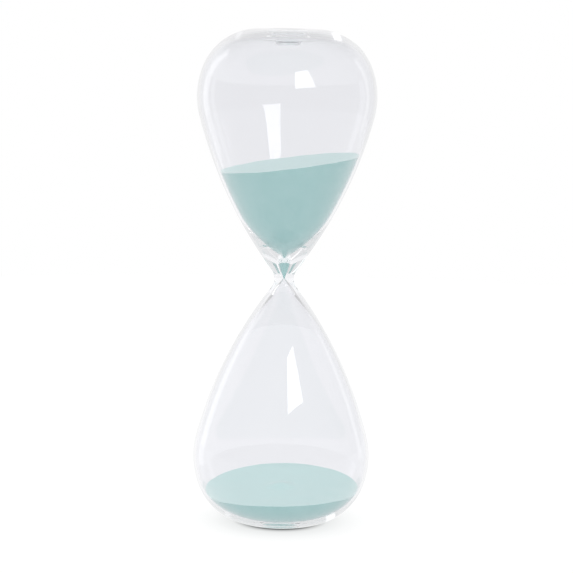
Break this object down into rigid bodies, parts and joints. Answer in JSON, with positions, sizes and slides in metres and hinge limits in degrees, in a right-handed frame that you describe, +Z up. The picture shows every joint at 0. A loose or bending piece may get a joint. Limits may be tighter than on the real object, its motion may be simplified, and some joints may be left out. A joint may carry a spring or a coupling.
{
  "type": "hourglass",
  "caption": "Frameless hourglass of clear blown glass, with pear-shaped bulbs fused at a narrow waist, flat ends to stand on, and pale sea-green sand sealed inside.",
  "frame": {"origin": "centre of the base plane, on the axis, where the lower end rests on the table", "axes": "+Z up along the axis through the waist; the upper sand surface is higher on the +X side; -Y faces the viewer"},
  "size_m": [0.0862, 0.0862, 0.24],
  "materials": {
    "bulb_glass": "clear, fire-polished",
    "seal_glass": "clear, fused bead",
    "sand": "fine matt grains, pale sea green"
  },
  "bodies": {
    "root": {"upper_bulb": "bulb_glass", "lower_bulb": "bulb_glass", "fill_seal": "seal_glass", "upper_sand": "sand", "lower_sand": "sand"}
  },
  "joints": []
}
